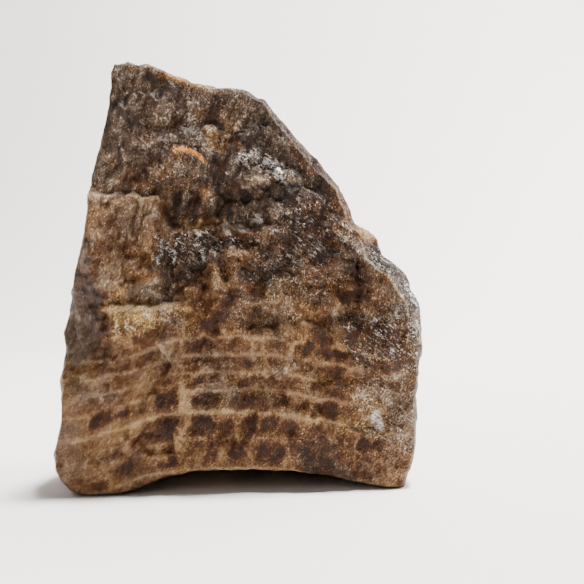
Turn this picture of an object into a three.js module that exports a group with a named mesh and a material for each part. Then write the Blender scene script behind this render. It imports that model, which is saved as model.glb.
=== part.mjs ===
// A broken piece of banded aragonite that stands on the two ends of its arched underside.
// Millimetres, +Z up, front face towards -Y, origin at the bottom centre of its box.
//
// The skin is a block of grid lines wrapped on to the stone. u runs from left to right, v from the
// underside to the top and b from the front face to the back, each from 0 to 1.
import * as THREE from "three";

// Driving dimensions.
const FRONT_Y = -10.9; // nearest point of the front face, at its lower left
const FRONT_TURN = 0.107; // how much further back the front lies for each millimetre to the right
const FRONT_LEAN = 0.08; // how much further back it lies for each millimetre up
const BACK_Y = 11.1; // back face at the bottom
const BACK_LEAN = 0.2; // how much nearer the back comes for each millimetre up
const ARCH_HEIGHT = 2.3; // crown of the growth layers above their ends
const ARCH_RISE = [-11.5, -3.5]; // x where the layers leave the left foot, and where they are level
const ARCH_FALL = [3, 14.2]; // x where they start down again, and where they reach the right foot
const FOOT_WEAR = 0.2; // how far the feet are worn up into the lowest layer, which flattens them
const ARCH_DEPTH = [0.35, 0.8]; // share of the thickness over which the arch closes towards the back
const RIM = 0.5; // width of the worn edge round the front face
const RIM_DEPTH = 0.06; // share of the thickness that the worn edge takes up
const CORE = new THREE.Vector3(0.3, 0, 17); // the point that outlines and fractures draw in to
const EDGE_SHARPNESS = 30; // of the edges between fractures; a higher power leaves them less worn
const STEP_SHARPNESS = 14; // of the steps between crystal facets

// Grid cells across, up and through.
const CELLS = [34, 38, 16];

// The outline seen from the front, x and z of its corners, each edge from its lower or left end.
const LEFT_EDGE = [
  [-14.0, -FOOT_WEAR],
  [-14.9, 0.3],
  [-15.6, 1.1],
  [-16.0, 2.2],
  [-16.0, 3.9],
  [-15.8, 6.0],
  [-15.8, 8.8],
  [-16.2, 9.9],
  [-16.3, 12.0],
  [-16.8, 13.8],
  [-16.4, 15.2],
  [-15.6, 17.8],
  [-14.5, 21.2],
  [-13.8, 24.8],
  [-14.0, 26.8],
  [-13.3, 30.4],
  [-12.7, 33.8],
  [-12.4, 36.6],
  [-12.6, 38.2],
  [-12.4, 39.2],
];
const TOP_EDGE = [
  [-12.4, 39.2],
  [-9.0, 38.8],
  [-7.3, 38.1],
  [-4.9, 37.0],
  [-2.2, 36.7],
  [-0.3, 36.5],
];
const RIGHT_EDGE = [
  [14.5, -FOOT_WEAR],
  [15.1, 1.4],
  [15.5, 2.7],
  [15.7, 5.3],
  [15.8, 7.8],
  [16.2, 13.2],
  [16.2, 15.2],
  [16.2, 16.6],
  [15.5, 17.8],
  [14.8, 19.4],
  [12.5, 21.2],
  [11.9, 22.5],
  [10.9, 23.6],
  [10.0, 23.9],
  [9.7, 25.3],
  [8.7, 27.7],
  [6.7, 29.8],
  [4.7, 32.1],
  [3.1, 34.0],
  [1.8, 35.7],
  [-0.3, 36.5],
];

// Ledges and hollows of the front face. Each is a stretch of x and of z that stands proud, or lies
// back where rise is negative, and fades out over the widths given for left, right, below and above.
const LEDGES = [
  { name: "tan block", x: [-14.6, -7.4], z: [18.6, 26.0], rise: 1.4, fade: [1.6, 0.5, 3.0, 0.5] },
  { name: "corner of the block", x: [-7.9, -7.0], z: [22.6, 24.0], rise: 0.6, fade: [0.5, 0.5, 1.2, 0.5] },
  { name: "columnar hollow", x: [-6.9, 1.9], z: [24.0, 26.6], rise: -1.4, fade: [0.5, 1.6, 0.5, 1.6] },
  { name: "golden patch", x: [-4.2, -2.8], z: [25.8, 27.2], rise: 0.6, fade: [0.5, 0.5, 0.6, 0.9] },
  { name: "glinting slope", x: [-7.2, -2.0], z: [19.4, 21.0], rise: -1.2, fade: [0.6, 0.8, 2.2, 2.4] },
  { name: "golden ridge", x: [-2.8, -0.4], z: [16.8, 21.4], rise: 1.0, fade: [0.5, 2.4, 2.2, 0.7] },
  { name: "speckled hollow", x: [1.0, 8.0], z: [18.4, 22.6], rise: -0.5, fade: [1.2, 1.6, 1.4, 1.0] },
  { name: "hollow over the ledge", x: [-9.4, -6.9], z: [16.8, 18.4], rise: -1.1, fade: [0.6, 1.4, 0.5, 1.2] },
  { name: "tan ledge", x: [-11.6, -5.3], z: [14.4, 16.3], rise: 1.0, fade: [1.2, 1.0, 2.0, 0.5] },
  { name: "square pit", x: [0.5, 2.5], z: [14.8, 16.3], rise: -0.7, fade: [0.5, 0.5, 0.7, 0.5] },
  { name: "right groove", x: [8.9, 10.0], z: [16.0, 20.4], rise: -1.0, fade: [0.5, 1.0, 1.4, 1.2] },
  { name: "sugary cavity", x: [9.8, 13.6], z: [5.6, 8.0], rise: -0.5, fade: [0.8, 0.8, 0.6, 0.8] },
  { name: "dark crystal pit", x: [-8.0, -6.2], z: [4.0, 6.4], rise: -0.45, fade: [0.9, 0.5, 0.6, 0.6] },
  { name: "shining step", x: [0.8, 4.5], z: [25.6, 28.0], rise: 0.9, fade: [1.0, 1.8, 0.8, 1.6] },
  { name: "shoulder of the peak", x: [-9.0, -3.6], z: [28.6, 31.0], rise: 0.5, fade: [2.0, 1.6, 0.8, 2.6] },
];

// Flat fractures that cut the sides and the back: which way each faces, and how far from the core.
const FRACTURES = [
  { name: "back left", facing: [-0.64, 0.76, 0.1], from: 14.9 },
  { name: "back left, below", facing: [-0.5, 0.82, -0.3], from: 16.6 },
  { name: "back right", facing: [0.78, 0.6, 0.16], from: 15.4 },
  { name: "back right, below", facing: [0.42, 0.84, -0.34], from: 15.6 },
  { name: "back of the peak", facing: [-0.3, 0.62, 0.72], from: 15.4 },
  { name: "back of the slope", facing: [0.46, 0.5, 0.73], from: 13.6 },
  { name: "middle of the back", facing: [0.1, 0.99, 0.08], from: 8.6 },
  { name: "right shoulder", facing: [0.86, 0.24, 0.45], from: 14.6 },
  { name: "upper left side", facing: [-0.93, 0.3, 0.2], from: 14.6 },
];

const clamp01 = (t) => Math.min(1, Math.max(0, t));
const mix = (a, b, t) => a + (b - a) * t;
const bell = (x, middle, width) => Math.exp(-(((x - middle) / width) ** 2));
const smooth = (from, to, x) => {
  const t = clamp01((x - from) / (to - from));
  return t * t * (3 - 2 * t);
};

// A number from 0 to 1 that looks random but is always the same for the same lattice point.
function scatter(i, j, k) {
  const s = Math.sin(i * 127.1 + j * 311.7 + k * 74.7) * 43758.5453;
  return s - Math.floor(s);
}

// Smooth lumps from -1 to 1, one for about every unit of x, y and z.
function lumps(x, y, z) {
  const [i, j, k] = [Math.floor(x), Math.floor(y), Math.floor(z)];
  const share = smooth(0, 1, x - i);
  const edge = (dj, dk) => mix(scatter(i, j + dj, k + dk), scatter(i + 1, j + dj, k + dk), share);
  const side = (dk) => mix(edge(0, dk), edge(1, dk), smooth(0, 1, y - j));
  return 2 * mix(side(0), side(1), smooth(0, 1, z - k)) - 1;
}

// Height, from about -1 to 1, of the crystal facet that a point lies on. Space is split into cells
// about one unit wide. The facet of each cell has a height and a tilt of its own, and neighbouring
// facets are eased into each other along a narrow step.
function facets(x, y, z) {
  const [i, j, k] = [Math.floor(x), Math.floor(y), Math.floor(z)];
  let total = 0;
  let height = 0;
  for (let a = i - 1; a <= i + 1; a++) {
    for (let b = j - 1; b <= j + 1; b++) {
      for (let c = k - 1; c <= k + 1; c++) {
        const dx = x - a - scatter(a, b, c);
        const dy = y - b - scatter(b, c, a + 9);
        const dz = z - c - scatter(c, a, b + 5);
        const weight = Math.exp(-STEP_SHARPNESS * (dx * dx + dy * dy + dz * dz));
        const tilt = (dx + dy) * (scatter(a + 3, b, c) - 0.5) + dz * (scatter(a, b + 7, c) - 0.5);
        height += weight * (1.2 * (scatter(a, b, c + 4) - 0.5) + 1.6 * tilt);
        total += weight;
      }
    }
  }
  return height / total;
}

// How far the growth layers, and the underside with them, arch up at x.
function arch(x) {
  return ARCH_HEIGHT * smooth(...ARCH_RISE, x) * (1 - smooth(...ARCH_FALL, x));
}

// The point at share t of the way along a chain of corners.
function along(chain, t) {
  const runs = chain.slice(1).map((p, n) => Math.hypot(p[0] - chain[n][0], p[1] - chain[n][1]));
  let left = t * runs.reduce((sum, run) => sum + run, 0);
  let n = 0;
  while (n < runs.length - 1 && left > runs[n]) {
    left -= runs[n];
    n += 1;
  }
  return [0, 1].map((axis) => mix(chain[n][axis], chain[n + 1][axis], clamp01(left / runs[n])));
}

// The underside follows the layers in front and comes down to the table behind them.
function underside(u, b) {
  const x = mix(LEFT_EDGE[0][0], RIGHT_EDGE[0][0], u);
  return [x, arch(x) * (1 - smooth(...ARCH_DEPTH, b)) - FOOT_WEAR];
}

// How far the outline at x, z is drawn in at depth b: by the worn rim in front, which is widest at the
// right shoulder, and by the sides closing in towards the back above the feet. Two lumps stand out.
function drawIn(x, z, b) {
  const shoulder = 0.75 * bell(z, 19.5, 4) * smooth(6, 11, x);
  const slope = 0.35 * bell(z, 31, 6) * smooth(-2, 3, x);
  const rim = (RIM + shoulder + slope) * (1 - smooth(0, RIM_DEPTH, b));
  const closing = smooth(1, 8, z) * (2.2 * Math.max(0, b - 0.35) + 0.9 * smooth(0.85, 1, b));
  const footLump = 0.9 * bell(z, 4, 2) * bell(b, 0.2, 0.15) * smooth(-13, -15, x);
  const knob = 0.5 * bell(z, 22.6, 1) * bell(b, 0.28, 0.15) * smooth(8, 10, x);
  return rim + closing - footLump - knob;
}

function drawnIn([x, z], b) {
  const [dx, dz] = [x - CORE.x, z - CORE.z];
  const share = drawIn(x, z, b) / Math.hypot(dx, dz);
  return [x - dx * share, z - dz * share];
}

// The outline at depth b filled in between its four edges.
function slice(u, v, b) {
  const [left, right] = [LEFT_EDGE, RIGHT_EDGE].map((chain) => drawnIn(along(chain, v), b));
  const [bottom, top] = [underside(u, b), along(TOP_EDGE, u)].map((point) => drawnIn(point, b));
  const ends = [LEFT_EDGE[0], RIGHT_EDGE[0], TOP_EDGE.at(0), TOP_EDGE.at(-1)];
  const corners = ends.map((point) => drawnIn(point, b));
  return [0, 1].map((axis) => {
    const [bottomLeft, bottomRight, topLeft, topRight] = corners.map((corner) => corner[axis]);
    const edges = mix(left[axis], right[axis], u) + mix(bottom[axis], top[axis], v);
    return edges - mix(mix(bottomLeft, bottomRight, u), mix(topLeft, topRight, u), v);
  });
}

function ledgeHeight(x, z) {
  const [jagX, jagZ] = [x + 0.3 * lumps(x * 0.9, 4, z * 0.9), z + 0.3 * lumps(x * 0.9, 8, z * 0.9)];
  let height = 0;
  for (const { x: [left, right], z: [low, high], rise, fade } of LEDGES) {
    const across = smooth(left - fade[0], left, jagX) * (1 - smooth(right, right + fade[1], jagX));
    const upward = smooth(low - fade[2], low, jagZ) * (1 - smooth(high, high + fade[3], jagZ));
    height += rise * across * upward;
  }
  return height;
}

// The front: a leaning plane with a strip along its upper left that falls back, and its ledges.
function frontY(x, z) {
  const plane = FRONT_Y + FRONT_TURN * (x + 16) + FRONT_LEAN * z;
  const stripEdge = -11.0 - 2.9 * smooth(13, 27, z);
  const strip = 0.6 * Math.max(0, stripEdge - x) * smooth(8, 13, z);
  const rounding = 0.5 * smooth(12.5, 16, x) + 0.35 * smooth(2.2, 0, z - arch(x));
  return plane + strip + rounding - ledgeHeight(x, z);
}

function backY(x, z) {
  return BACK_Y - BACK_LEAN * z + 0.9 * lumps(x / 9, 2, z / 9);
}

// Relief of the broken surface: broad lumps and crystal facets drawn out along their growth. It is
// held down at the front outline and dies out at the worn feet.
function relief({ x, y, z }, [u, v, b]) {
  const level = z - arch(x);
  const broad = 0.35 * lumps(x / 5, y / 5, z / 5);
  const chunks = 1.3 * facets(x / 5.5, y / 5.5, level / 5.5) * smooth(0.15, 0.5, b);
  const fine = 0.7 * facets(x / 2.6, y / 2.6, level / 3.4) + 0.1 * lumps(x / 1.3, y / 1.3, level / 2);
  const inside = smooth(0, 0.12, Math.min(u, 1 - u, v, 1 - v));
  const share = mix(0.35, 1, Math.max(inside, smooth(0.1, 0.5, b)));
  return (broad + chunks + fine) * share * smooth(0.2, 1.5, z);
}

function skinPoint(spot) {
  const [u, v, b] = spot;
  const [x, z] = slice(u, v, b);
  const point = new THREE.Vector3(x, mix(frontY(x, z), backY(x, z), b), z).sub(CORE);
  // Each fracture draws the points beyond it in towards the core, until they lie on it.
  let beyond = 1;
  for (const { facing, from } of FRACTURES) {
    const reach = new THREE.Vector3(...facing).normalize().dot(point) / from;
    beyond += Math.max(0, reach) ** EDGE_SHARPNESS;
  }
  point.multiplyScalar(beyond ** (-1 / EDGE_SHARPNESS));
  // Relief stands square to the front and the back, and outwards from the core elsewhere.
  const square = 1 - smooth(0, 0.15, Math.min(b, 1 - b));
  const outward = new THREE.Vector3(0.5, mix(0.1, 1.6, square), 0.5).multiply(point).normalize();
  point.add(CORE);
  point.addScaledVector(outward, relief(point, spot));
  point.z = Math.max(0, point.z);
  return point;
}

// The six grids of the block, joined along its edges.
function stoneGeometry() {
  const points = [];
  const indexOf = new Map();
  const corner = (spot) => {
    const key = spot.join();
    if (!indexOf.has(key)) {
      indexOf.set(key, points.length);
      const [u, v] = spot.map((n, axis) => n / CELLS[axis]);
      // The plies lie closer together near the front and the back, where the rims turn.
      const b = 0.5 - 0.5 * Math.cos((Math.PI * spot[2]) / CELLS[2]);
      points.push(skinPoint([u, v, b]));
    }
    return indexOf.get(key);
  };
  const triangles = [];
  for (const [across, up, fixed] of [[0, 1, 2], [1, 2, 0], [2, 0, 1]]) {
    for (const end of [0, CELLS[fixed]]) {
      for (let i = 0; i < CELLS[across]; i++) {
        for (let j = 0; j < CELLS[up]; j++) {
          const ring = [[0, 0], [1, 0], [1, 1], [0, 1]].map(([di, dj]) => {
            const spot = [];
            spot[across] = i + di;
            spot[up] = j + dj;
            spot[fixed] = end;
            return corner(spot);
          });
          if (end) ring.reverse();
          triangles.push(ring[0], ring[1], ring[2], ring[0], ring[2], ring[3]);
        }
      }
    }
  }
  const geometry = new THREE.BufferGeometry().setFromPoints(points).setIndex(triangles);
  geometry.computeVertexNormals();
  return geometry;
}

const stone = new THREE.Mesh(
  stoneGeometry(),
  new THREE.MeshStandardMaterial({ color: 0x7a5c44, roughness: 0.55, metalness: 0 }),
);
stone.name = "banded_aragonite";

const part = new THREE.Group();
part.add(stone);
export default part;
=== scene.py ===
import math

import bpy
import numpy as np
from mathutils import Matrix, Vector


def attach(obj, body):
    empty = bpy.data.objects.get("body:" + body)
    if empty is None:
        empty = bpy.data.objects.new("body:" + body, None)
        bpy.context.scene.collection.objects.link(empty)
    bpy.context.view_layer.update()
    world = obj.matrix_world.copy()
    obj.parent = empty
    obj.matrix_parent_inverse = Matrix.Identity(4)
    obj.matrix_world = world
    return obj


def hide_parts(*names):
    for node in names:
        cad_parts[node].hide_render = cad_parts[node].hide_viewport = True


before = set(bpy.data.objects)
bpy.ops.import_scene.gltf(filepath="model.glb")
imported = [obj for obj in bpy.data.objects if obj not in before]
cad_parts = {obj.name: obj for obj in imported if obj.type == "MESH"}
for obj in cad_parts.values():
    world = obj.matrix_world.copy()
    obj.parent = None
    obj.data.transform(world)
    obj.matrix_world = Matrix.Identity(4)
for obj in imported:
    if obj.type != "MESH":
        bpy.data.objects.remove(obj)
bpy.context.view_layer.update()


# The stone: one broken piece of banded aragonite. It grew as thin layers of cream and brown
# crystals over an arched surface, with columns running across the layers, and broke out of the
# vein along flat fractures. It stands on the two worn ends of its lowest layer, and on a strip
# along its back, where the arch between them closes.
# Millimetres throughout this section, +Z up, front face towards -Y.

FRONT_Y = -10.9          # nearest point of the front face, at its lower left
FRONT_TURN = 0.107       # how much further back the front lies for each millimetre to the right
FRONT_LEAN = 0.08        # how much further back it lies for each millimetre up
BACK_Y = 11.1
BACK_LEAN = 0.2
ARCH_HEIGHT = 2.3        # crown of the layers above their ends
ARCH_CLOSES = (0.35, 0.8)   # shares of the thickness over which the arch sinks to the table
FOOT_WEAR = 0.2          # how far the feet are worn up into the lowest layer
LIP_DROP = 0.45          # how far the front edge of the arch hangs below the arch
LIP_SAG = 0.3            # and how much further at its lowest point
RIM = 0.5                # width of the worn edge round the front face
RIM_DEPTH = 0.06         # share of the thickness that it takes up
CORE = np.array([0.3, 0.0, 17.0])
EDGE_SHARPNESS = 30      # of the edges between fractures
STEP_SHARPNESS = 14      # of the steps between crystal facets
CELLS = (150, 190, 60)   # grid cells across, up and through

# The outline seen from the front, x and z of its corners.
LEFT_EDGE = np.array([
    (-14.0, -FOOT_WEAR), (-14.9, 0.3), (-15.6, 1.1), (-16.0, 2.2), (-16.0, 3.9), (-15.8, 6.0),
    (-15.8, 8.8), (-16.2, 9.9), (-16.3, 12.0), (-16.8, 13.8), (-16.4, 15.2), (-15.6, 17.8),
    (-14.5, 21.2), (-13.8, 24.8), (-14.0, 26.8), (-13.3, 30.4), (-12.7, 33.8), (-12.4, 36.6),
    (-12.6, 38.2), (-12.4, 39.2)])
TOP_EDGE = np.array([
    (-12.4, 39.2), (-9.0, 38.8), (-7.3, 38.1), (-4.9, 37.0), (-2.2, 36.7), (-0.3, 36.5)])
RIGHT_EDGE = np.array([
    (14.5, -FOOT_WEAR), (15.1, 1.4), (15.5, 2.7), (15.7, 5.3), (15.8, 7.8), (16.2, 13.2),
    (16.2, 15.2), (16.2, 16.6), (15.5, 17.8), (14.8, 19.4), (12.5, 21.2), (11.9, 22.5),
    (10.9, 23.6), (10.0, 23.9), (9.7, 25.3), (8.7, 27.7), (6.7, 29.8), (4.7, 32.1),
    (3.1, 34.0), (1.8, 35.7), (-0.3, 36.5)])

# Ledges and hollows of the front face: the x and z that each covers, how far it stands out, and
# the widths over which it fades to the left, to the right, below and above.
LEDGES = [
    ("tan block", (-14.6, -7.4), (18.6, 26.0), 1.4, (1.6, 0.5, 3.0, 0.5)),
    ("corner of the block", (-7.9, -7.0), (22.6, 24.0), 0.6, (0.5, 0.5, 1.2, 0.5)),
    ("columnar hollow", (-6.9, 1.9), (24.0, 26.6), -1.4, (0.5, 1.6, 0.5, 1.6)),
    ("golden patch", (-4.2, -2.8), (25.8, 27.2), 0.6, (0.5, 0.5, 0.6, 0.9)),
    ("glinting slope", (-7.2, -2.0), (19.4, 21.0), -1.2, (0.6, 0.8, 2.2, 2.4)),
    ("golden ridge", (-2.8, -0.4), (16.8, 21.4), 1.0, (0.5, 2.4, 2.2, 0.7)),
    ("speckled hollow", (1.0, 8.0), (18.4, 22.6), -0.5, (1.2, 1.6, 1.4, 1.0)),
    ("hollow over the ledge", (-9.4, -6.9), (16.8, 18.4), -1.1, (0.6, 1.4, 0.5, 1.2)),
    ("tan ledge", (-11.6, -5.3), (14.4, 16.3), 1.0, (1.2, 1.0, 2.0, 0.5)),
    ("square pit", (0.5, 2.5), (14.8, 16.3), -0.7, (0.5, 0.5, 0.7, 0.5)),
    ("right groove", (8.9, 10.0), (16.0, 20.4), -1.0, (0.5, 1.0, 1.4, 1.2)),
    ("sugary cavity", (9.8, 13.6), (5.6, 8.0), -0.5, (0.8, 0.8, 0.6, 0.8)),
    ("dark crystal pit", (-8.0, -6.2), (4.0, 6.4), -0.45, (0.9, 0.5, 0.6, 0.6)),
    ("shining step", (0.8, 4.5), (25.6, 28.0), 0.9, (1.0, 1.8, 0.8, 1.6)),
    ("shoulder of the peak", (-9.0, -3.6), (28.6, 31.0), 0.5, (2.0, 1.6, 0.8, 2.6)),
]

# Flat fractures that cut the sides and the back: which way each faces, and how far from the core.
FRACTURES = [
    ("back left", (-0.64, 0.76, 0.1), 14.9),
    ("back left, below", (-0.5, 0.82, -0.3), 16.6),
    ("back right", (0.78, 0.6, 0.16), 15.4),
    ("back right, below", (0.42, 0.84, -0.34), 15.6),
    ("back of the peak", (-0.3, 0.62, 0.72), 15.4),
    ("back of the slope", (0.46, 0.5, 0.73), 13.6),
    ("middle of the back", (0.1, 0.99, 0.08), 8.6),
    ("right shoulder", (0.86, 0.24, 0.45), 14.6),
    ("upper left side", (-0.93, 0.3, 0.2), 14.6),
]


def mix(a, b, t):
    return a + (b - a) * t


def smooth(start, end, x):
    t = np.clip((x - start) / (end - start), 0, 1)
    return t * t * (3 - 2 * t)


def bell(x, middle, width):
    return np.exp(-((x - middle) / width) ** 2)


def scatter(i, j, k):
    """A number from 0 to 1 for each lattice point: the fraction left of a large multiple of a sine."""
    s = np.sin(i * 127.1 + j * 311.7 + k * 74.7) * 43758.5453
    return s - np.floor(s)


def lumps(x, y, z):
    """Smooth lumps from -1 to 1: scatter at the eight lattice points round x, y, z, eased between."""
    i, j, k = np.floor(x), np.floor(y), np.floor(z)
    fx, fy, fz = smooth(0, 1, x - i), smooth(0, 1, y - j), smooth(0, 1, z - k)

    def side(dk):
        near = mix(scatter(i, j, k + dk), scatter(i + 1, j, k + dk), fx)
        far = mix(scatter(i, j + 1, k + dk), scatter(i + 1, j + 1, k + dk), fx)
        return mix(near, far, fy)
    return 2 * mix(side(0), side(1), fz) - 1


def facets(x, y, z):
    """Height of the crystal facet under each point. Seeds are scattered one to a lattice cell, and
    each holds a flat facet with its own height and tilt. The facets are averaged with weights that
    fall off steeply with distance, so neighbours meet in a narrow step."""
    i, j, k = np.floor(x), np.floor(y), np.floor(z)
    total, height = 0, 0
    for step in np.ndindex(3, 3, 3):
        a, b, c = i + step[0] - 1, j + step[1] - 1, k + step[2] - 1
        dx = x - a - scatter(a, b, c)
        dy = y - b - scatter(b, c, a + 9)
        dz = z - c - scatter(c, a, b + 5)
        weight = np.exp(-STEP_SHARPNESS * (dx * dx + dy * dy + dz * dz))
        tilt = (dx + dy) * (scatter(a + 3, b, c) - 0.5) + dz * (scatter(a, b + 7, c) - 0.5)
        height = height + weight * (1.2 * (scatter(a, b, c + 4) - 0.5) + 1.6 * tilt)
        total = total + weight
    return height / total


def arch(x):
    """Height of the underside at x: a smooth rise from the left foot and fall to the right one."""
    return ARCH_HEIGHT * smooth(-11.5, -3.5, x) * (1 - smooth(3, 14.2, x))


def along(chain, t):
    """The point at share t of the way along a chain of corners, measured by length."""
    reached = np.concatenate([[0], np.cumsum(np.hypot(*np.diff(chain, axis=0).T))])
    return np.array([np.interp(t * reached[-1], reached, chain[:, axis]) for axis in (0, 1)])


def drawn_in(point, b):
    """An outline point moved towards the core: by the worn rim where b is near 0, and by the sides
    closing in towards the back above the feet, less two lumps that stand out."""
    x, z = point
    shoulder = 0.75 * bell(z, 19.5, 4) * smooth(6, 11, x)
    slope = 0.35 * bell(z, 31, 6) * smooth(-2, 3, x)
    rim = (RIM + shoulder + slope) * (1 - smooth(0, RIM_DEPTH, b))
    closing = smooth(1, 8, z) * (2.2 * np.maximum(0, b - 0.35) + 0.9 * smooth(0.85, 1, b))
    foot_lump = 0.9 * bell(z, 4, 2) * bell(b, 0.2, 0.15) * smooth(-13, -15, x)
    knob = 0.5 * bell(z, 22.6, 1) * bell(b, 0.28, 0.15) * smooth(8, 10, x)
    dx, dz = x - CORE[0], z - CORE[2]
    share = (rim + closing - foot_lump - knob) / np.hypot(dx, dz)
    return np.array([x - dx * share, z - dz * share])


def outline_slice(u, v, b):
    """The outline at depth b filled in between its four edges: opposite edges blended across, and
    the blend of the four corners, which both blends hold, taken off once. The bottom edge is the
    arch, which hangs down as a lip at the front and closes towards the back."""
    left, right = drawn_in(along(LEFT_EDGE, v), b), drawn_in(along(RIGHT_EDGE, v), b)
    x = mix(LEFT_EDGE[0][0], RIGHT_EDGE[0][0], u)
    bottom = drawn_in(np.array([x, arch(x) * (1 - smooth(*ARCH_CLOSES, b)) - FOOT_WEAR]), b)
    lip = (LIP_DROP + LIP_SAG * bell(x, 3, 3.5)) * smooth(-7, -5.3, x) * (1 - smooth(6, 8.5, x))
    bottom[1] -= lip * (1 - smooth(0, 0.12, b))
    top = drawn_in(along(TOP_EDGE, u), b)
    ends = (LEFT_EDGE[0], RIGHT_EDGE[0], TOP_EDGE[0], TOP_EDGE[-1])
    low_left, low_right, top_left, top_right = [
        drawn_in(np.array([np.full_like(b, p[0]), np.full_like(b, p[1])]), b) for p in ends]
    corners = mix(mix(low_left, low_right, u), mix(top_left, top_right, u), v)
    return mix(left, right, u) + mix(bottom, top, v) - corners


def ledge_height(x, z):
    """How far the front stands out at x, z: the sum of the ledges, each faded at its four sides. And
    how near the point is to the broken upper edge of a high ledge, or to the sharp lower edge of a
    deep hollow, 1 on it."""
    jag_x = x + 0.3 * lumps(x * 0.9, 4, z * 0.9) + 0.2 * lumps(x * 2, 5, z * 2)
    jag_z = z + 0.3 * lumps(x * 0.9, 8, z * 0.9) + 0.2 * lumps(x * 2, 9, z * 2)
    height, crest = 0, 0
    for _, (left, right), (low, high), rise, fade in LEDGES:
        across = smooth(left - fade[0], left, jag_x) * (1 - smooth(right, right + fade[1], jag_x))
        upward = smooth(low - fade[2], low, jag_z) * (1 - smooth(high, high + fade[3], jag_z))
        height = height + rise * across * upward
        if rise > 0.8:
            crest = np.maximum(crest, across * bell(jag_z, high - 0.25, 0.25))
        if rise < -1 and fade[2] == 0.5:
            crest = np.maximum(crest, 0.8 * across * bell(jag_z, low - 0.4, 0.2))
    return height, crest


def front_y(x, z):
    """The front: a leaning plane, a strip at its upper left that falls back, edges that round off at
    the right and over the arch, and the ledges."""
    plane = FRONT_Y + FRONT_TURN * (x + 16) + FRONT_LEAN * z
    strip_edge = -11.0 - 2.9 * smooth(13, 27, z)
    strip = 0.6 * np.maximum(0, strip_edge - x) * smooth(8, 13, z)
    rounding = 0.5 * smooth(12.5, 16, x) + 0.35 * smooth(2.2, 0, z - arch(x))
    return plane + strip + rounding - ledge_height(x, z)[0]


def flake_share(x, z):
    """1 on the curved orange flake near the top of the front, 0 away from it: a bell across a line
    that falls away to the right as a parabola."""
    ends = smooth(-6.7, -6.2, x) * (1 - smooth(-3.7, -3.3, x))
    return ends * bell(z, 30.4 - 0.26 * (x + 5.6) ** 2, 0.32)


def stone_surface(u, v, b):
    """The skin at u across, v up and b through: the outline slice pushed to its depth between the
    front and the back, drawn in to the fractures, and roughened with lumps and crystal facets."""
    x, z = outline_slice(u, v, b)
    back = BACK_Y - BACK_LEAN * z + 0.9 * lumps(x / 9, 2, z / 9)
    point = np.array([x, mix(front_y(x, z), back, b), z]) - CORE[:, None]
    beyond = 1
    for _, facing, start in FRACTURES:
        reach = (facing / np.linalg.norm(facing)) @ point / start
        beyond = beyond + np.maximum(0, reach) ** EDGE_SHARPNESS
    point = point * beyond ** (-1 / EDGE_SHARPNESS)
    square = 1 - smooth(0, 0.15, np.minimum(b, 1 - b))
    outward = 0.5 * point
    outward[1] = point[1] * mix(0.1, 1.6, square)
    outward /= np.linalg.norm(outward, axis=0)
    x, y, z = point = point + CORE[:, None]
    level = z - arch(x)
    relief = 0.35 * lumps(x / 5, y / 5, z / 5) + 0.1 * lumps(x / 1.3, y / 1.3, level / 2)
    relief += 1.3 * facets(x / 5.5, y / 5.5, level / 5.5) * smooth(0.15, 0.5, b)
    relief += 0.7 * facets(x / 2.6, y / 2.6, level / 3.4)
    inside = smooth(0, 0.12, np.minimum(np.minimum(u, 1 - u), np.minimum(v, 1 - v)))
    relief *= mix(0.35, 1, np.maximum(inside, smooth(0.1, 0.5, b))) * smooth(0.2, 1.5, z)
    # Finer breakage than the solid carries: short columns and single crystals.
    rough = smooth(0.1, 0.8, z) * mix(1, 0.5, bell(z, 4, 7) * smooth(0.3, 0, b))
    fine = 0.3 * facets(x / 0.9, y / 0.9, level / 1.6) + 0.16 * facets(x / 0.45, y / 0.45, level / 0.5)
    relief += fine * rough * mix(0.4, 1, np.maximum(inside, smooth(0.1, 0.5, b)))
    relief += 0.5 * flake_share(x, z) * (b < 0.1)
    point = point + outward * relief
    point[2] = np.maximum(0, point[2])
    return point, fine


def block_skin(cells):
    """Lattice points on the skin of a block, numbered once each, and the quads of its six faces."""
    number = np.zeros(np.array(cells) + 1, int)
    number[1:-1, 1:-1, 1:-1] = -1
    spots = np.argwhere(number == 0)
    number[tuple(spots.T)] = np.arange(len(spots))
    quads = []
    for axis, (across, up) in ((2, (0, 1)), (0, (1, 2)), (1, (2, 0))):
        for end in (0, -1):
            sheet = np.take(number, end, axis)
            sheet = sheet if across < up else sheet.T
            ring = [sheet[:-1, :-1], sheet[1:, :-1], sheet[1:, 1:], sheet[:-1, 1:]]
            quads.append(np.stack(ring if end else ring[::-1], -1).reshape(-1, 4))
    return spots, np.concatenate(quads)


spots, quads = block_skin(CELLS)
u, v = spots[:, 0] / CELLS[0], spots[:, 1] / CELLS[1]
b = 0.5 - 0.5 * np.cos(math.pi * spots[:, 2] / CELLS[2])
surface, fine_relief = stone_surface(u, v, b)

stone_mesh = bpy.data.meshes.new("banded_stone")
stone_mesh.from_pydata((surface.T / 1000).tolist(), [], quads.tolist())
stone_mesh.shade_smooth()
stone = bpy.data.objects.new("banded_stone", stone_mesh)
bpy.context.collection.objects.link(stone)


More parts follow.
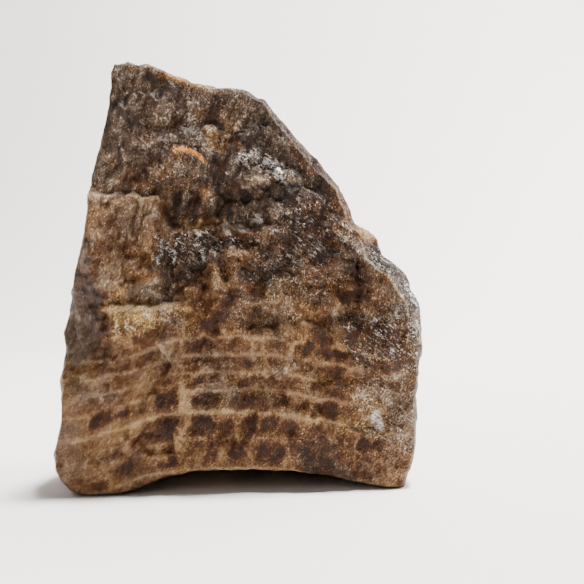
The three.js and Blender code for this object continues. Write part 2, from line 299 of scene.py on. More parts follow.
class Wire:
    """An output socket of a material's nodes. Arithmetic on wires adds the nodes that do it."""

    def __init__(self, tree, socket):
        self.tree, self.socket = tree, socket

    def node(self, kind, settings, inputs, output=0):
        """Adds a node: its settings, such as an operation or a ramp's stops, then its sockets."""
        node = self.tree.nodes.new("ShaderNode" + kind)
        for name, value in settings.items():
            if name == "stops":
                elements = node.color_ramp.elements
                elements.remove(elements[1])
                for n, (position, colour) in enumerate(value):
                    stop = elements[0] if n == 0 else elements.new(position)
                    stop.position, stop.color = position, (*colour, 1)
            else:
                setattr(node, name, value)
        for name, value in inputs.items():
            if isinstance(value, Wire):
                self.tree.links.new(value.socket, node.inputs[name])
            else:
                wide = node.inputs[name].type in ("VECTOR", "RGBA") and np.ndim(value) == 0
                node.inputs[name].default_value = (value,) * 3 if wide else value
        return Wire(self.tree, node.outputs[output])

    def calculate(self, operation, *values):
        """Adds a maths node of that operation, for vectors if one of the values is a vector."""
        wide = any(isinstance(n, Wire) and n.socket.type in ("VECTOR", "RGBA") for n in values)
        kind = "VectorMath" if wide else "Math"
        return self.node(kind, {"operation": operation}, dict(enumerate(values)))

    def __add__(self, other):
        return self.calculate("ADD", self, other)

    def __sub__(self, other):
        return self.calculate("SUBTRACT", self, other)

    def __rsub__(self, other):
        return self.calculate("SUBTRACT", other, self)

    def __mul__(self, other):
        return self.calculate("MULTIPLY", self, other)

    __radd__, __rmul__ = __add__, __mul__

    def between(self, start, end):
        """0 up to start, 1 from end, and straight between them."""
        return self.node("MapRange", {}, {0: self, 1: start, 2: end})

    def blend(self, a, b):
        """The colour a where this is 0, b where it is 1."""
        return self.node("Mix", {"data_type": "RGBA"}, {0: self, 6: a, 7: b}, 2)

    def ramp(self, *stops):
        return self.node("ValToRGB", {"stops": stops}, {0: self})


def shade(red, green, blue):
    """A colour as the eye reads it, 0 to 255, made linear."""
    shares = [n / 255 for n in (red, green, blue)]
    return tuple(((n + 0.055) / 1.055) ** 2.4 if n > 0.04 else n / 12.92 for n in shares)


# Level of each cream layer, which is its height at the crown, its half thickness and how strongly
# it shows.
LAYERS = [
    (2.1, 0.18, 0.8), (3.05, 0.12, 0.35), (3.95, 0.12, 0.35), (4.65, 0.15, 0.55), (5.75, 0.12, 0.25),
    (6.95, 0.26, 0.95), (8.85, 0.22, 0.8), (9.5, 0.12, 0.5), (10.5, 0.2, 0.8), (12.0, 0.24, 0.85),
    (13.5, 0.22, 0.8), (15.3, 0.2, 0.5), (16.7, 0.2, 0.5), (18.9, 0.2, 0.35), (20.3, 0.2, 0.3),
    (23.4, 0.2, 0.35), (27.2, 0.25, 0.3), (30.5, 0.25, 0.25), (33.6, 0.25, 0.25),
]
LAYER_RISE = (-15.5, -5)   # x over which the layers rise to their crown
LAYER_FALL = (3, 16)       # and over which they fall again
BANDED = (22, 13)          # levels between which the cream frame grows stronger downwards
FRONT_SHARE = (0.1, 0.35)  # shares of the thickness over which the front's colours fade

# Colour patches of the front, later ones over earlier: x, level, tone from 0 dark to 1 cream,
# warmth from -0.7 grey over 0 grey brown and 0.5 brown to 1 golden, sparkle, and the width of the
# patch's soft edge.
PATCHES = [
    ("peak", (-15, -3), (27, 42), 0.47, -0.05, 0.5, 1.5),
    ("slope", (-4, 9), (24, 40), 0.36, -0.36, 0.35, 1.5),
    ("pale of the peak", (-11.9, -9.9), (30.8, 36.9), 0.38, -0.60, 0.25, 1.0),
    ("brown of the peak", (-9.5, -7.8), (33.9, 38.1), 0.32, 0.10, 0.3, 0.8),
    ("tan lumps", (-9.9, -7.7), (31.2, 33.0), 0.62, 0.21, 0.6, 0.7),
    ("olive ridge", (-5.4, -3.8), (33.4, 36.1), 0.62, 0.25, 0.7, 0.7),
    ("olive spot", (-3.6, -1.4), (31.7, 33.1), 0.76, 0.30, 0.7, 0.4),
    ("tan near the top", (-2.6, -0.2), (33.0, 35.6), 0.55, 0.15, 0.5, 0.6),
    ("olive lumps", (-3.9, -1.1), (29.9, 31.8), 0.60, 0.75, 0.6, 0.7),
    # Painted glint: the shining step and its upper end are painted pale grey where their faces catch the
    # light.
    ("shining step", (1.2, 4.6), (28.0, 29.6), 0.57, -0.60, 1.8, 0.5),
    ("upper end of the step", (-1.1, 1.8), (28.4, 29.8), 0.64, -0.60, 1.6, 0.4),
    ("tan under the flake", (-8.2, -5.4), (28.6, 30.3), 0.56, 0.44, 0.6, 0.7),
    ("pale step", (-10.5, -7.0), (26.6, 29.0), 0.47, 0.25, 0.7, 0.8),
    ("tan block", (-15.2, -7.4), (16.5, 26.4), 0.64, 0.45, 0.4, 0.4),
    ("brown heart of the block", (-12.8, -8.4), (19.4, 25.4), 0.45, 0.28, 0.4, 0.9),
    ("golden heart of the block", (-11.4, -9.5), (17.4, 19.4), 0.60, 0.85, 0.5, 0.6),
    # Painted highlight: paler along the top edge of the block, where it catches the light.
    ("crest of the block", (-14.0, -10.6), (27.0, 29.2), 0.60, 0.35, 0.6, 0.4),
    ("brown right of the heart", (-9.9, -8.0), (18.5, 20.6), 0.30, 0.30, 0.3, 0.4),
    ("purple strip", (-18, -12.9), (13.2, 24.5), 0.52, -0.56, 0.0, 0.8),
    ("dark of the strip", (-15.6, -12.6), (17.6, 21.4), 0.22, 0.12, 0.0, 0.8),
    ("dark of the strip, below", (-16.5, -12.2), (13.6, 16.3), 0.37, -0.05, 0.0, 0.6),
    ("left columnar hollow", (-7.0, -3.4), (23.8, 27.2), 0.38, -0.47, 0.3, 0.35),
    ("right columnar hollow", (-2.8, 3.0), (23.8, 28.0), 0.45, -0.37, 0.4, 0.5),
    ("golden patch", (-4.1, -2.7), (26.0, 27.3), 0.58, 0.95, 0.3, 0.3),
    # Partly painted highlight: the tan ledge under the hollow is painted near cream, as its top catches
    # the light.
    ("ledge under the hollow", (-2.9, 1.2), (23.1, 23.9), 0.99, -0.32, 0.5, 0.25),
    ("small tan bits", (-5.0, -3.4), (22.6, 23.5), 1.00, 0.74, 0.5, 0.3),
    ("glinting slope", (-7.4, -0.6), (20.3, 22.8), 0.26, 0.10, 1.3, 0.5),
    ("dark under the slope", (-7.6, -2.9), (18.4, 20.4), 0.36, 0.03, 0.5, 0.5),
    ("speckled dark", (0.2, 5.6), (18.4, 23.0), 0.38, 0.08, 0.7, 0.9),
    ("tan above the bands", (1.1, 4.9), (15.4, 18.4), 0.66, 0.45, 0.5, 0.5),
    ("dark slope", (3.2, 8.6), (20.8, 27.5), 0.18, 0.15, 0.7, 1.1),
    ("glint_threads", (1.0, 3.7), (23.4, 26.0), 0.52, 0.10, 1.0, 0.6),
    # Painted light: white where the hollow's overhang shades the face, and glinting.
    ("white of the frost", (1.0, 2.6), (24.2, 25.6), 0.90, -0.10, 1.3, 0.3),
    ("golden ridge", (-2.8, 0.3), (16.7, 21.5), 0.52, 0.58, 0.5, 0.5),
    ("golden right", (3.6, 8.8), (17.6, 20.4), 0.43, 0.37, 0.6, 0.8),
    ("dark columns by the shoulder", (8.8, 11.5), (18.4, 22.8), 0.28, 0.05, 0.3, 0.5),
    ("groove", (8.9, 10.0), (17.3, 21.5), 0.08, 0.30, 0.1, 0.3),
    ("dark of the hollow", (-9.4, -6.6), (16.9, 18.6), 0.56, -0.22, 0.4, 0.35),
    # Painted light: paler where the hollow shades the face.
    ("right of the hollow", (-7.6, -6.0), (16.4, 19.2), 0.66, 0.20, 0.5, 0.4),
    ("tan ledge", (-12.2, -5.3), (15.1, 16.9), 0.63, 0.82, 0.8, 0.5),
    ("brown under the ledge", (-11.6, -9.8), (12.6, 14.6), 0.32, 0.50, 0.2, 0.5),
    ("left of the ledge", (-12.8, -10.9), (15.2, 18.0), 0.22, 0.40, 0.2, 0.3),
    ("right of the ledge", (-5.2, -3.6), (14.0, 18.0), 0.29, 1.04, 0.2, 0.5),
    ("shoulder", (10.2, 17), (17.5, 25), 0.47, 0.20, 0.4, 0.7),
    ("grey shoulder", (12.6, 17), (12.8, 18.5), 0.50, 0.08, 0.9, 1.8),
    ("glint by the knob", (8.9, 9.9), (23.9, 24.9), 0.80, -0.60, 2.0, 0.3),
    ("dark right", (8.8, 14.8), (12.2, 16.9), 0.22, 0.50, 0.8, 0.6),
    ("tan by the groove", (7.6, 9.8), (15.6, 17.3), 0.78, 0.45, 0.5, 0.4),
    ("pale spot over the rows", (2.2, 5.2), (10.5, 11.8), 0.74, 0.30, 0.5, 0.5),
    ("pale right end", (12.6, 14.6), (7.4, 9.2), 0.70, 0.25, 0.8, 0.4),
    # Painted highlight: the left edge is painted pale where it catches the light.
    ("pale left edge", (-16.2, -13.6), (10.2, 12.2), 0.64, 0.20, 0.1, 0.4),
    ("under the knob", (8.8, 10.4), (22.6, 24.2), 0.68, 0.20, 0.8, 0.3),
    ("brown of the lowest layers", (4.6, 11.8), (1.6, 5.6), 0.28, 0.30, 0.3, 1.0),
    ("cream right", (9.0, 17), (5.4, 12.4), 0.46, 0.35, 0.6, 1.4),
    ("gold spot", (7.4, 9.6), (9.2, 11.0), 0.30, 1.10, 0.3, 0.7),
    ("sugar", (9.5, 12.8), (6.7, 9.5), 0.66, 0.60, 0.8, 0.8),
    ("white of the sugar", (11.9, 13.4), (7.2, 8.5), 1.00, -0.17, 1.3, 0.4),
]

# The darkest crystals of the front, row by row from the top: the x from and to, and the level from
# and to, that each fills, and its darkness.
CRYSTALS = [
    (-3.7, -2.8, 32.4, 34.8, 0.55), (-6.9, -5.5, 32.1, 33.6, 1.00), (-1.6, 0.9, 30.6, 31.9, 0.80),
    (-10.6, -8.6, 28.3, 30.2, 0.65), (-3.1, -1.6, 28.0, 29.8, 0.75), (3.2, 4.7, 29.6, 30.5, 0.35),
    (0.2, 4.8, 25.9, 27.5, 0.55), (-6.9, -6.2, 24.1, 27.0, 0.80), (-5.2, -4.1, 24.1, 27.0, 0.70),
    (-2.7, -1.1, 24.1, 27.6, 0.75), (-1.4, -0.2, 21.2, 22.4, 0.45), (2.0, 4.2, 21.2, 22.7, 0.55),
    (-3.9, -3.1, 17.6, 19.3, 0.45), (-2.7, -1.2, 13.5, 17.6, 0.95), (0.5, 2.4, 15.0, 16.2, 0.60),
    (2.1, 4.0, 14.3, 15.2, 0.20), (5.9, 7.9, 13.3, 16.4, 0.55), (9.5, 10.6, 14.0, 15.8, 0.65),
    (-3.8, -2.8, 13.9, 15.2, 0.95), (-6.5, -5.4, 11.2, 12.9, 0.50), (-4.7, -0.4, 12.2, 13.3, 0.50),
    (-1.6, -0.2, 12.4, 13.3, 0.50), (2.6, 4.5, 12.3, 13.4, 0.35), (5.1, 6.4, 12.2, 13.2, 0.85),
    (6.8, 8.0, 12.2, 14.2, 1.00), (7.4, 9.2, 12.2, 13.1, 0.85), (12.4, 14.0, 12.2, 13.4, 0.50),
    (-15.3, -13.8, 10.9, 11.6, 0.15), (-4.0, -2.2, 11.2, 11.8, 0.45), (-0.1, 1.0, 10.8, 11.7, 0.85),
    (4.7, 6.0, 10.7, 11.3, 0.25), (6.5, 8.9, 10.8, 11.6, 0.60), (12.8, 14.2, 10.9, 11.7, 0.95),
    (-4.6, -3.2, 9.3, 10.1, 0.60), (-0.4, 0.9, 9.0, 10.1, 0.55), (1.2, 3.3, 9.0, 10.0, 0.40),
    (3.8, 4.9, 9.2, 9.9, 0.60), (-13.2, -11.3, 7.5, 8.7, 0.95), (-11.1, -9.9, 7.6, 8.5, 0.90),
    (-7.6, -5.8, 7.6, 9.1, 0.80), (-4.6, -2.2, 7.25, 8.5, 0.70), (-1.1, 1.0, 7.2, 8.2, 0.90),
    (2.5, 4.1, 7.1, 8.4, 0.65), (7.0, 9.6, 8.85, 9.35, 0.65), (9.2, 10.8, 7.4, 8.4, 0.85),
    (1.3, 2.4, 7.2, 8.1, 0.70), (4.4, 5.8, 6.95, 8.2, 0.40), (6.0, 7.0, 6.9, 8.1, 0.75),
    (7.0, 8.4, 6.9, 8.3, 1.00), (-9.1, -7.2, 5.1, 6.6, 0.60), (-7.2, -5.8, 4.8, 6.8, 0.85),
    (-4.2, -2.4, 4.9, 6.5, 1.00), (-2.1, -0.8, 4.8, 6.4, 0.60), (-0.1, 1.1, 3.9, 6.9, 0.90),
    (1.6, 2.9, 5.0, 6.5, 0.95), (3.2, 4.7, 5.0, 6.3, 0.80), (5.7, 7.1, 5.0, 6.2, 0.80),
    (10.3, 12.6, 4.8, 6.0, 0.95), (4.9, 6.4, 4.1, 4.6, 0.45), (6.8, 8.4, 4.1, 4.8, 0.50),
    (-14.0, -13.2, 2.4, 2.9, 0.60), (-10.7, -9.4, 2.7, 3.7, 0.90), (-7.2, -5.9, 2.2, 3.0, 0.90),
    (-5.3, -3.9, 2.6, 4.3, 0.35), (-3.5, -2.2, 2.6, 4.3, 0.70), (-1.4, -0.3, 2.6, 4.4, 0.90),
    (1.2, 3.6, 2.5, 4.2, 0.80), (5.0, 6.1, 2.5, 3.8, 0.55), (6.6, 7.9, 2.6, 3.7, 0.65),
]

CRYSTAL_LEAN = 0.35   # how far they lean to the right for each millimetre up
LOWEST_ROWS = 6       # level up to which a patch counts as one of the lowest rows


def patch(x, level, across, upward, soft):
    """1 inside the box across by upward, 0 outside it, eased over the width soft."""
    inside = smooth(across[0] - soft / 2, across[0] + soft / 2, x)
    inside = inside * (1 - smooth(across[1] - soft / 2, across[1] + soft / 2, x))
    inside = inside * smooth(upward[0] - soft / 2, upward[0] + soft / 2, level)
    return inside * (1 - smooth(upward[1] - soft / 2, upward[1] + soft / 2, level))


def blot(x, level, across, upward, soft):
    """1 inside a rounded box, 0 outside it: the fourth powers of the distances from its middle, each
    as a share of its half width, added. The edge wanders with two sizes of lumps."""
    middle = (across[0] + across[1]) / 2, (upward[0] + upward[1]) / 2
    half = (across[1] - across[0]) / 2, (upward[1] - upward[0]) / 2
    reach = (((x - middle[0]) / half[0]) ** 4 + ((level - middle[1]) / half[1]) ** 4) ** 0.25
    ragged = 0.35 * lumps(x / 0.7, 5, level / 0.7) + 0.25 * lumps(x / 0.3, 6, level / 0.4)
    return smooth(-soft / 2, soft / 2, (1 - reach) * min(half) + ragged)


def columns(x, y):
    """Crystal columns across the layers: distance from the nearest wall between two columns, and a
    number from 0 to 1 for the column. Seeds are scattered one to a square of the plane."""
    i, j = np.floor(x), np.floor(y)
    first, second = np.full(np.shape(x), np.inf), np.full(np.shape(x), np.inf)
    name = np.zeros(np.shape(x))
    for step in np.ndindex(3, 3):
        a, c = i + step[0] - 1, j + step[1] - 1
        distance = np.hypot(x - a - 0.15 - 0.7 * scatter(a, c, 3), y - c - 0.15 - 0.7 * scatter(a, c, 8))
        name = np.where(distance < first, scatter(a, c, 21), name)
        second = np.minimum(second, np.maximum(first, distance))
        first = np.minimum(first, distance)
    return (second - first) / 2, name


def growth(x, y, z):
    """The level in the layers: the height that the point would have at their crown, with small
    waves. And the strand, a number that stays the same along a fibre: the fibres run up the stone
    and lean to the right, most in the lowest layers."""
    crown = smooth(*LAYER_RISE, x) * (1 - smooth(*LAYER_FALL, x))
    level = z + ARCH_HEIGHT * (1 - crown)
    strand = x - 0.25 * z - 0.3 * np.minimum(0, level - 13)
    waves = 0.13 * lumps(x / 2.2, y / 2.2, level / 1.5) + 0.07 * lumps(x / 0.7, y / 0.7, level / 0.7)
    level = level + waves
    level = level + 0.06 * lumps(x / 0.3, y / 0.3, level / 0.5)
    return level, strand


def crystal_frame(x, y, level, wander, banded, left):
    """Tone of the crystals, and how much of each point is the cream that frames them: the layers, a
    little lower at the left and right of the crown, and the walls of wide and of thin columns. Each
    crystal is darkened by a number of its own, and is paler near a layer. Where banded is 0 the
    frame fades and the tone is even."""
    sag = 0.33 * bell(x, 6.3, 3.2) + 0.16 * np.clip(level - 8.5, 0, 3.5) * bell(x, -9, 3)
    grown = level + sag
    row = np.searchsorted([middle for middle, _, _ in LAYERS], grown)
    cream, halo = 0, 0
    for middle, thickness, strength in LAYERS:
        show = strength * (0.85 + 0.25 * lumps(x / 3, y / 3, middle))
        uneven = thickness * (1 + 0.3 * lumps(x / 1.5, y / 1.5, middle))
        cream = np.maximum(cream, show * bell(grown, middle, uneven))
        halo = np.maximum(halo, show * bell(grown, middle, 2.5 * thickness))
    wall, name = columns(wander / 1.9, y / 1.9)
    column = np.floor(name * 1000)
    walls = (1 - smooth(0.02, 0.14, wall)) * (0.2 + 0.8 * scatter(column, row, 7))
    thin_wall, thin_name = columns(wander / 0.9 + 7, y / 0.9)
    thin_walls = (1 - smooth(0.02, 0.16, thin_wall)) * scatter(np.floor(thin_name * 1000), row, 3)
    cream = np.maximum(cream, walls * mix(0.25, 0.7, banded)) * mix(0.35, 1, banded)
    cream = np.maximum(cream, 0.45 * thin_walls * banded)
    tone = mix(0.38, 0.27 + 0.24 * scatter(row, column, 5) + 0.02 * left, banded)
    tone = tone + 0.12 * halo * banded - 0.08 * bell(x, -12, 2.5) * bell(level, 7.7, 1.8)
    return tone, cream


def dark_crystals(x, y, level, strand, wander):
    """How dark each point is with the darkest crystals, and how near it is to the edge of one. They
    lean to the right and are darker at the top, and their ends are torn along the fibres."""
    torn_x = wander + 0.3 * lumps(x / 0.8, y / 0.8, level / 0.7 + 20)
    torn_level = level + 0.22 * lumps(x / 0.7, y / 0.7, level / 0.6 + 60)
    torn_level = torn_level + 0.3 * lumps(strand / 0.4, y / 0.4, 60)
    dark, rim = 0, 0
    for west, east, low, high, darkness in CRYSTALS:
        rise = level - (low + high) / 2
        leaning = torn_x - CRYSTAL_LEAN * rise
        mask = patch(leaning, torn_level, (west, east), (low, high), 0.5)
        dark = np.maximum(dark, mask * darkness * (1 + 0.3 * rise / (high - low)))
        rim = np.maximum(rim, patch(leaning, level, (west - 0.3, east + 0.3), (low, high), 0.3))
    return dark, rim


def broken_rim(tone, warmth, sparkle, point, spot, front):
    """Tone, warmth and sparkle with the broken rim of the front laid over them: golden along the top,
    purple brown down the slope, a bevel at the shoulder painted grey as a glinting reflection with a
    painted white highlight along its edge, a golden knob above it, and a pale left foot."""
    x, y, z = point
    u, v, b = spot
    top = smooth(0.972, 0.99, v) * front
    tone = mix(tone, 0.52 + 0.25 * bell(x, -2.5, 2), top * 0.8)
    warmth = mix(warmth, 1.1 * bell(x, -6.5, 3), top)
    slope = smooth(0.94, 0.99, u + 0.02 * lumps(x / 1.1, 4, z / 1.1)) * front * smooth(23.8, 25, z)
    tone, warmth = mix(tone, 0.37, slope * 0.8), mix(warmth, 0.12, slope * 0.8)
    sparkle = mix(sparkle, 0.15, slope)
    shoulder = smooth(15, 17, z) * (1 - smooth(22, 23, z)) * front
    # Painted reflection: the bevel at the shoulder is painted grey and glinting, as a face that catches
    # the light.
    bevel = smooth(0.99, 0.999, u) * shoulder * smooth(0.16, 0.04, b + 0.04 * lumps(x, y, z))
    tone, warmth, sparkle = mix(tone, 0.32, bevel), mix(warmth, -0.7, bevel), mix(sparkle, 1.1, bevel)
    # Painted highlight: a thin white line along the edge of the bevel.
    tone = mix(tone, 1.0, bell(u, 0.988, 0.006) * shoulder)
    knob = bell(z, 22.9, 1.1) * smooth(0.99, 0.999, u) * smooth(8, 10, x) * smooth(0.3, 0.1, b)
    tone, warmth, sparkle = mix(tone, 0.6, knob), mix(warmth, 0.9, knob), mix(sparkle, 0.3, knob)
    foot = smooth(0.1, 0.02, u) * front * smooth(13, 10, z)
    tone, warmth = mix(tone, 0.58, foot * 0.6), mix(warmth, 0.25, foot * 0.7)
    return tone, warmth, sparkle


def stone_tones(point, spot, fine_relief):
    """Seven numbers for each point: tone, warmth and sparkle, the level in the layers, the cream, the
    strand and the dark. The frame of cream and crystals goes all round, calmer at its left end. On
    the front the patches, the darkest crystals and the broken rim are laid over it, in that order.
    Mottling comes last, with painted highlights on the crests of the ledges and the lips of the hollows,
    and the orange flake."""
    x, y, z = point
    u, v, b = spot
    level, strand = growth(x, y, z)
    front = 1 - smooth(*FRONT_SHARE, b + 0.07 * lumps(x / 2, y / 2, z / 2))
    banded = smooth(*BANDED, level)
    left = smooth(-5, -9, x) * banded
    wander = x + 0.18 * lumps(x / 1.5, y / 1.5, level / 1.2 + 40) + 0.12 * lumps(x * 3, y * 3, level * 2)
    tone, cream = crystal_frame(x, y, level, wander, banded, left)
    warmth = mix(0.3, 0.5, banded)
    sparkle = (0.4 + 0.35 * lumps(x / 3, y / 3, z / 3 + 9)) * (1 - 0.8 * left) * mix(1, 0.6, banded)

    drift_x = wander + 0.7 * lumps(x / 2.4, 3, level / 2.4) + 0.5 * lumps(x / 0.9, 3, level / 1.1)
    drift_level = level + 0.6 * lumps(x / 2.4, 7, level / 2.4) + 0.5 * lumps(x / 0.8, 7, level / 0.9)
    for _, across, upward, patch_tone, patch_warmth, patch_sparkle, soft in PATCHES:
        mask = blot(drift_x, drift_level, across, upward, soft) * front * 0.9
        tone = mix(tone, patch_tone + 0.35 * (tone - 0.45), mask)
        warmth = mix(warmth, patch_warmth, mask)
        sparkle = mix(sparkle, patch_sparkle, mask)
        # The cream layers show through the patches, most in the lowest rows.
        cream = cream * (1 - (0.25 if upward[1] < LOWEST_ROWS else 0.6) * mask)

    dark, rim = dark_crystals(x, y, level, strand, wander)
    dark, rim = dark * front, rim * front
    sparkle = mix(sparkle, 0.1, dark * 0.8)
    warmth = mix(warmth, 0.4, dark * 0.7)
    cream = np.maximum(cream, 0.25 * rim * banded) * (1 - dark) * (1 - 0.15 * left)
    dark = dark * (1 - 0.2 * left)
    # Painted shade: darker towards the bottom, where less light reaches.
    tone = tone - 0.06 * smooth(5, 2, level)
    tone, warmth, sparkle = broken_rim(tone, warmth, sparkle, point, spot, front)

    # Upright streaks in the columnar hollow, then mottling, strongest in two sugary clusters.
    hollow = patch(x, z, (-7.0, 2.2), (23.6, 27.2), 0.6) * front
    tone = tone + 0.22 * lumps(x / 0.5, 11, z / 4) * hollow
    sugar = blot(drift_x, drift_level, (9.5, 12.8), (6.7, 9.5), 0.8) * front
    sugar = np.maximum(sugar, 0.6 * blot(drift_x, drift_level, (-12, -5.4), (14.4, 17.2), 0.6) * front)
    mottle = 0.08 * lumps(x / 1.1, y / 1.1, level / 0.9) + 0.05 * lumps(x / 0.45, y / 0.45, level / 0.45)
    mottle = mottle * mix(1.1, 0.7, banded) * (1 + 1.8 * sugar) + 0.15 * fine_relief
    tone = tone + mottle * (1 - 0.7 * cream) * (1 - 0.4 * left)
    stains = 0.25 * lumps(x / 3, y / 3, z / 3) + 0.2 * lumps(x, y, level)
    stains = stains + 0.12 * lumps(x * 2, y * 2, level * 2)
    stains = stains * (1 - 0.7 * smooth(-12, -13.5, x) * smooth(12, 14, level))
    warmth = warmth + stains * mix(0.8, 1, banded)
    # Painted highlight: the crests of the high ledges and the lips of the deep hollows are painted pale,
    # where faces that turn up catch the light.
    crest = ledge_height(x, z)[1] * front * (0.65 + 0.4 * lumps(x / 0.4, 2, z / 0.4))
    tone, warmth = mix(tone, 0.88, crest), mix(warmth, 0.5, crest)
    flake = smooth(0.3, 0.7, flake_share(x, z)) * front
    tone, warmth = mix(tone, 0.64, flake), mix(warmth, 1.45, flake)
    return tone, warmth, sparkle, level, cream, strand, dark


TONES = ("tone", "warmth", "sparkle", "level", "cream", "strand", "dark")
for name, values in zip(TONES, stone_tones(surface, (u, v, b), fine_relief)):
    stone_mesh.attributes.new(name, "FLOAT", "POINT").data.foreach_set("value", values.astype(np.float32))

stone_material = bpy.data.materials.new("banded_stone")
stone_material.use_nodes = True
tree = stone_material.node_tree
shader = tree.nodes["Principled BSDF"]
place = Wire(tree, tree.nodes.new("ShaderNodeTexCoord").outputs["Object"]) * 1000.0
tone, warmth, sparkle, level, cream, strand, dark = [
    place.node("Attribute", {"attribute_name": name}, {}, "Fac") for name in TONES]

# Fibres run up the columns and lean to the right, laminae lie along the layers, sand is the finest
# noise, and grains are the sugary crystals, each with a lightness and a tilt of its own. The web
# tears the edges of cream and crystals, and the blotches are the largest change of tone.
east, back, up = [place.node("SeparateXYZ", {}, {0: place}, n) for n in range(3)]
leaning = place.node("CombineXYZ", {}, {"X": strand * 3.0, "Y": back * 3.0, "Z": level * 0.9})
fibres = place.node("TexNoise", {}, {"Vector": leaning, "Scale": 1.0, "Detail": 4.0, "Roughness": 0.6})
sheets = place.node("CombineXYZ", {}, {"X": east * 0.5, "Y": back * 0.5, "Z": level * 3.0})
laminae = place.node("TexNoise", {}, {"Vector": sheets, "Scale": 1.0, "Detail": 4.0, "Roughness": 0.6})
finest = place.node("CombineXYZ", {}, {"X": strand * 8.0, "Y": back * 8.0, "Z": level * 5.5})
sand = place.node("TexNoise", {}, {"Vector": finest, "Scale": 1.0, "Detail": 1.0})
web = place.node("TexNoise", {}, {"Vector": leaning * (0.9, 0.9, 1.6), "Scale": 1.0, "Detail": 3.0})
blotch = place.node("TexNoise", {}, {"Vector": place, "Scale": 0.5, "Detail": 2.0})
shift = place.node("TexNoise", {}, {"Vector": place, "Scale": 3.0, "Detail": 2.0}, "Color")
shifted = place.node("CombineXYZ", {}, {"X": strand, "Y": back, "Z": level * 0.6}) + (shift - 0.5) * 0.5
grain = place.node("TexVoronoi", {}, {"Vector": shifted, "Scale": 3.4}, "Color")
fine_grain = place.node("TexVoronoi", {}, {"Vector": shifted, "Scale": 6.5}, "Color")
lightness = grain.node("SeparateColor", {}, {"Color": grain}, 0)
fine_lightness = grain.node("SeparateColor", {}, {"Color": fine_grain}, 0)

# How strongly each of them shows: fibres, laminae and smears stir the tone, and grit is the sand and
# the grains over that, coarser where the surface sparkles. Its dark side is held back.
smears = place.node("TexNoise", {}, {"Vector": leaning * (0.7, 0.7, 0.6), "Scale": 1.0, "Detail": 2.0})
clumps = place.node("TexNoise", {}, {"Vector": place, "Scale": 1.5, "Detail": 4.0, "Roughness": 0.65})
clump = clumps.between(0.47, 0.62)
rough_share = sparkle.between(0.0, 0.9)
upper = level.between(14.0, 22.0)
middle = east.between(-9.0, -5.0)
stir = (fibres - 0.5) * (middle * 0.1 - upper * 0.1 + 0.18) + (laminae - 0.5) * (0.45 - middle * 0.1)
stir = stir - smears.between(0.5, 0.68) * (upper * 0.14 + 0.12) + clump * 0.08
grit = (sand - 0.5) * (rough_share * (clump * 0.7 + 0.5) + middle * 0.5 + 0.35)
grit = grit + (fine_lightness - 0.5) * (rough_share * (clump * 0.3 + 0.1) + 0.08)
grit = grit + (lightness - 0.5) * (rough_share * 0.12 + 0.04)
texture = stir + grit
texture = texture.calculate("MAXIMUM", texture, texture * 0.7)

# Depth is the place in the colour ramps, 0 dark to 1 cream. Painted glints lie as pale specks in the
# clumps. Cream seams draw it to their own depth, and torn dark crystals with lighter fibres draw it down.
CREAM_DEPTH = 0.72
glint_specks = sand.between(0.58, 0.76) * clumps.between(0.42, 0.6)
depth = tone + (blotch - 0.5) * 0.5 + texture + glint_specks * (rough_share * 0.4 + 0.12) - 0.13
seam = (cream + (web - 0.5) * 0.6 + (fine_lightness - 0.5) * 0.2).between(0.15, 0.75)
depth = depth + (CREAM_DEPTH - depth) * seam * 0.8
strokes = fibres.between(0.38, 0.62)
torn = dark + (web - 0.5) * 0.9 + (strokes - 0.5) * 0.55 + (laminae - 0.5) * 0.4 + (sand - 0.5) * 0.4
depth = depth - torn.between(0.15, 1.5) * (0.68 - fibres * 0.3)
grey_brown = depth.ramp(
    (0.0, shade(29, 19, 12)), (0.25, shade(64, 47, 34)), (0.5, shade(107, 89, 73)),
    (0.75, shade(153, 136, 120)), (1.0, shade(206, 200, 186)))
brown = depth.ramp(
    (0.0, shade(42, 20, 6)), (0.25, shade(79, 47, 20)), (0.5, shade(116, 88, 60)),
    (0.75, shade(169, 140, 105)), (1.0, shade(210, 194, 162)))
golden = depth.ramp(
    (0.0, shade(37, 23, 10)), (0.25, shade(83, 56, 26)), (0.5, shade(136, 102, 59)),
    (0.75, shade(182, 153, 101)), (1.0, shade(217, 200, 154)))
grey = depth.ramp(
    (0.0, shade(30, 22, 16)), (0.25, shade(66, 53, 43)), (0.5, shade(112, 96, 82)),
    (0.75, shade(160, 145, 131)), (1.0, shade(208, 200, 190)))
orange = depth.ramp((0.0, shade(96, 52, 22)), (0.5, shade(196, 124, 62)), (1.0, shade(236, 178, 110)))
colour = warmth.between(-0.7, 0.0).blend(grey, grey_brown)
colour = warmth.between(0.0, 0.5).blend(colour, brown)
colour = warmth.between(0.5, 1.0).blend(colour, golden)
colour = warmth.between(1.0, 1.4).blend(colour, orange)

# Glint threads are painted: thin pale streaks of highlight where crystal faces sparkle. A few clean faces
# flash: their colour is painted whiter as a highlight, and they are smoother and more like a mirror than
# the rest.
slanting = place.node("CombineXYZ", {}, {
    "X": east * 0.8 - up * 0.6, "Y": back * 2.0, "Z": east * 3.6 + up * 5.0})
thread = place.node("TexNoise", {}, {"Vector": slanting, "Scale": 1.0, "Detail": 3.0}).between(0.53, 0.62)
cluster = place.node("TexNoise", {}, {"Vector": place, "Scale": 1.1, "Detail": 2.0}).between(0.45, 0.6)
glint_threads = thread * sparkle.between(0.4, 1.1) * fine_lightness.between(0.0, 0.5)
colour = (glint_threads * (cluster * 0.8 + 0.08)).blend(colour, (*shade(216, 213, 208), 1))
streak = grain.node("TexVoronoi", {}, {"Vector": leaning * (2.4, 2.4, 13.0), "Scale": 1.0}, "Color")
flash = streak.node("SeparateColor", {}, {"Color": streak}, 0) + sparkle * sparkle * cluster * 0.2
flash = flash.between(1.04, 1.09)
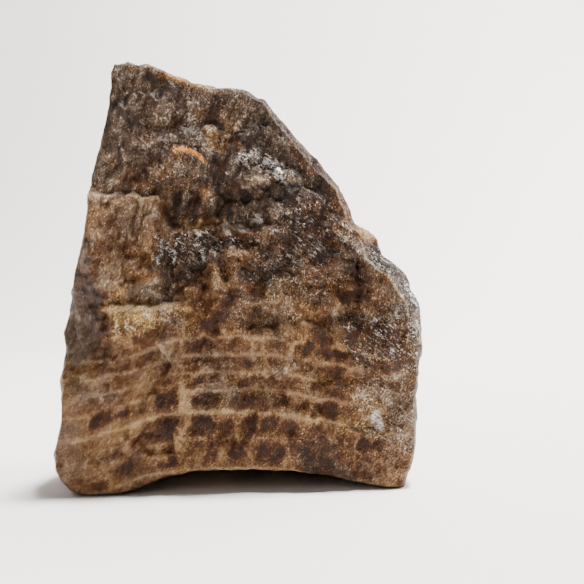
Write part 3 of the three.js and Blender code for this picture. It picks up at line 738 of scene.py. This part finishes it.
# Painted highlight: the colour of the flashing faces is blended towards white.
colour = (flash * 0.8).blend(colour, (*shade(240, 238, 236), 1))
tree.links.new(colour.socket, shader.inputs["Base Color"])
rough = (fine_lightness * 0.35 + 0.28) - flash * 0.2
tree.links.new(rough.socket, shader.inputs["Roughness"])
tree.links.new((flash * 0.7).socket, shader.inputs["Metallic"])

# The finest relief: fibres, clumps, grains and sand as bumps, and a tilt for each grain's face.
height = fibres * 0.4 + clumps * (rough_share * 0.4 + 0.1) + lightness * 0.08
height = height + sand * (rough_share * 0.3 + 0.1)
bumped = height.node("Bump", {}, {"Strength": 1.0, "Distance": 0.0005, "Height": height})
tilt = (grain - 0.5) * (rough_share * 0.3 + 0.2) + (fine_grain - 0.5) * (rough_share * 0.6 + 0.2)
tilted = bumped + tilt
facing = tilted.calculate("NORMALIZE", tilted)
tree.links.new(facing.socket, shader.inputs["Normal"])
shader.inputs["IOR"].default_value = 1.6
shader.inputs["Specular IOR Level"].default_value = 0.13
stone.data.materials.append(stone_material)

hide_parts("banded_aragonite")
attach(stone, "root")


# The setting: a pale sheet that lies flat under the stone and sweeps up far behind it, soft light
# from above and the right, and the camera. Metres.

SHEET_FLAT = 0.3
SHEET_BEND = 0.3


def sheet_surface(s, t):
    """Flat up to t = SHEET_FLAT, then a quarter circle of radius SHEET_BEND, then upright."""
    turn = np.clip((t - SHEET_FLAT) / SHEET_BEND, 0, math.pi / 2)
    rise = np.maximum(0, t - SHEET_FLAT - SHEET_BEND * math.pi / 2)
    y = np.minimum(t, SHEET_FLAT) + SHEET_BEND * np.sin(turn)
    return np.array([s, y, SHEET_BEND * (1 - np.cos(turn)) + rise])


s, t = np.meshgrid(np.linspace(-2, 2, 5), np.linspace(-1, 2.5, 141), indexing="ij")
points = sheet_surface(s.ravel(), t.ravel())
number = np.arange(s.size).reshape(s.shape)
ring = [number[:-1, :-1], number[1:, :-1], number[1:, 1:], number[:-1, 1:]]
sheet_mesh = bpy.data.meshes.new("pale_sheet")
sheet_mesh.from_pydata(points.T.tolist(), [], np.stack(ring, -1).reshape(-1, 4).tolist())
sheet_mesh.shade_smooth()
sheet = bpy.data.objects.new("pale_sheet", sheet_mesh)
bpy.context.collection.objects.link(sheet)
sheet_material = bpy.data.materials.new("pale_paper")
sheet_material.use_nodes = True
paper = sheet_material.node_tree.nodes["Principled BSDF"]
paper.inputs["Base Color"].default_value = (*shade(247, 243, 240), 1)
paper.inputs["Roughness"].default_value = 0.9
sheet.data.materials.append(sheet_material)

STONE_MIDDLE = (0.0, 0.0, 0.02)

# Name, place, what it is turned to, size, strength and colour of each light.
LIGHTS = [
    ("window", (0.5, 0.3, 0.36), STONE_MIDDLE, 0.4, 6.0, (1.0, 0.985, 0.96)),
    ("ceiling", (0.14, 0.06, 0.8), STONE_MIDDLE, 0.12, 23.0, (1.0, 0.985, 0.97)),
    ("room", (-0.3, -0.7, 0.5), STONE_MIDDLE, 0.6, 1.1, (1.0, 0.98, 0.96)),
    ("backdrop", (0.6, 0.15, 0.4), (0.42, 0.6, 0.1), 0.3, 4.0, (1.0, 0.99, 0.98)),
]
for name, spot, aim, size, watts, tint in LIGHTS:
    data = bpy.data.lights.new(name, "AREA")
    data.size, data.energy, data.color = size, watts, tint
    lamp = bpy.data.objects.new(name, data)
    lamp.location = spot
    lamp.rotation_euler = (Vector(spot) - Vector(aim)).to_track_quat("Z", "Y").to_euler()
    bpy.context.collection.objects.link(lamp)

world = bpy.data.worlds.new("soft_room")
world.use_nodes = True
world.node_tree.nodes["Background"].inputs["Color"].default_value = (1.0, 0.99, 0.98, 1)
world.node_tree.nodes["Background"].inputs["Strength"].default_value = 0.1
bpy.context.scene.world = world

camera_data = bpy.data.cameras.new("camera")
camera_data.lens = 45.43
camera_data.clip_start = 0.001
camera = bpy.data.objects.new("camera", camera_data)
camera.location = (0.0043, -0.0737, 0.0148)
camera.rotation_euler = (math.radians(92.41), 0, 0)
bpy.context.collection.objects.link(camera)
bpy.context.scene.camera = camera
